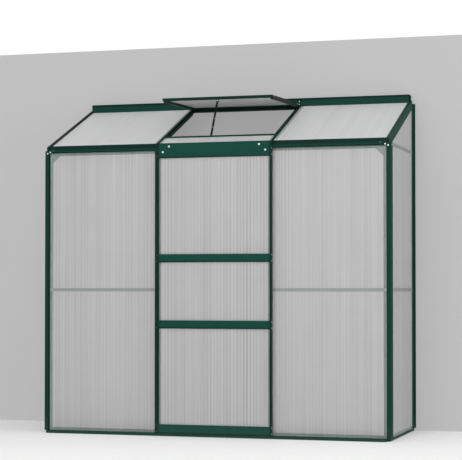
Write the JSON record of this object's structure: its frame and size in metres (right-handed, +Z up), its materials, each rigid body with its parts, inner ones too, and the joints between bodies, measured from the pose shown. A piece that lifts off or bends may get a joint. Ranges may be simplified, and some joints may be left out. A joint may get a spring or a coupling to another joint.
{
  "type": "lean to greenhouse",
  "caption": "Lean-to greenhouse against a wall: green aluminium frame, twin-wall clear sheets, sliding door in the middle bay and a propped roof vent.",
  "frame": {"origin": "on the ground, midway between the side walls, in line with the front faces of the corner posts", "axes": "+X along the wall to the right as seen from outside, +Y towards the wall, +Z up"},
  "size_m": [1.9348, 0.72, 1.861],
  "materials": {
    "green_frame": "dark green powder coat, satin",
    "sheet": "clear twin-wall sheet with fine upright channels",
    "strip": "clear joint strip",
    "zinc_steel": "bright zinc",
    "black_steel": "black paint",
    "nylon": "moulded"
  },
  "bodies": {
    "frame": {"bay_sheets_lower": "sheet", "bay_sheets_upper": "sheet", "corner_post_left": "green_frame", "corner_post_right": "green_frame", "door_rail": "green_frame", "eave_bar": "green_frame", "end_rafter_left": "green_frame", "end_rafter_right": "green_frame", "frame_bolts": "zinc_steel", "front_sill": "green_frame", "front_strips": "strip", "gable_sheets_lower": "sheet", "gable_sheets_top": "sheet", "gable_sheets_upper": "sheet", "gable_strips": "strip", "glazing_bar_left": "green_frame", "glazing_bar_right": "green_frame", "gusset_plates": "green_frame", "hinge_rail": "green_frame", "hinge_rail_screws": "zinc_steel", "middle_rafter_left": "green_frame", "middle_rafter_right": "green_frame", "rail_stops": "nylon", "ridge_bar": "green_frame", "roof_sheet_left": "sheet", "roof_sheet_right": "sheet", "roof_sheet_short": "sheet", "side_sill_left": "green_frame", "side_sill_right": "green_frame", "slam_bar": "green_frame", "stay_peg": "green_frame", "wall_post_left": "green_frame", "wall_post_right": "green_frame"},
    "door": {"door_bar_lower": "green_frame", "door_bar_upper": "green_frame", "door_corner_bolts": "zinc_steel", "door_foot_bar": "green_frame", "door_glides": "nylon", "door_header": "green_frame", "door_nuts": "zinc_steel", "door_screws": "zinc_steel", "door_sheet_lower": "sheet", "door_sheet_middle": "sheet", "door_sheet_upper": "sheet", "door_stile_left": "green_frame", "door_stile_right": "green_frame", "hanger_plates": "green_frame", "roller_axles": "zinc_steel"},
    "roller_left": {"roller_left": "nylon"},
    "roller_right": {"roller_right": "nylon"},
    "vent": {"vent_front_rail": "green_frame", "vent_hinge_bar": "green_frame", "vent_screws": "zinc_steel", "vent_sheet": "sheet", "vent_side_left": "green_frame", "vent_side_right": "green_frame", "stay_bracket": "green_frame", "stay_rivet": "zinc_steel"},
    "stay": {"vent_stay": "black_steel"}
  },
  "joints": [
    {"name": "door_slide", "type": "slide", "parent": "frame", "child": "door", "axis": [1, 0, 0], "range_m": [-0.656, 0.628]},
    {"name": "roller_left_spin", "type": "hinge", "parent": "door", "child": "roller_left", "pos_m": [-0.2365, -0.0095, 1.546], "axis": [0, 1, 0], "continuous": true},
    {"name": "roller_right_spin", "type": "hinge", "parent": "door", "child": "roller_right", "pos_m": [0.2645, -0.0095, 1.546], "axis": [0, 1, 0], "continuous": true},
    {"name": "vent_hinge", "type": "hinge", "parent": "frame", "child": "vent", "pos_m": [0, 0.62, 1.82783], "axis": [1, 0, 0], "range_deg": [0, 21]},
    {"name": "stay_swing", "type": "hinge", "parent": "vent", "child": "stay", "pos_m": [-0.005, 0.10336, 1.80029], "axis": [0, 0.9821, 0.1886], "range_deg": [-103, 75]}
  ],
  "couplings": [
    {"joint": "roller_left_spin", "follows": "door_slide", "rad_per_m": 86.957},
    {"joint": "roller_right_spin", "follows": "door_slide", "rad_per_m": 86.957}
  ]
}
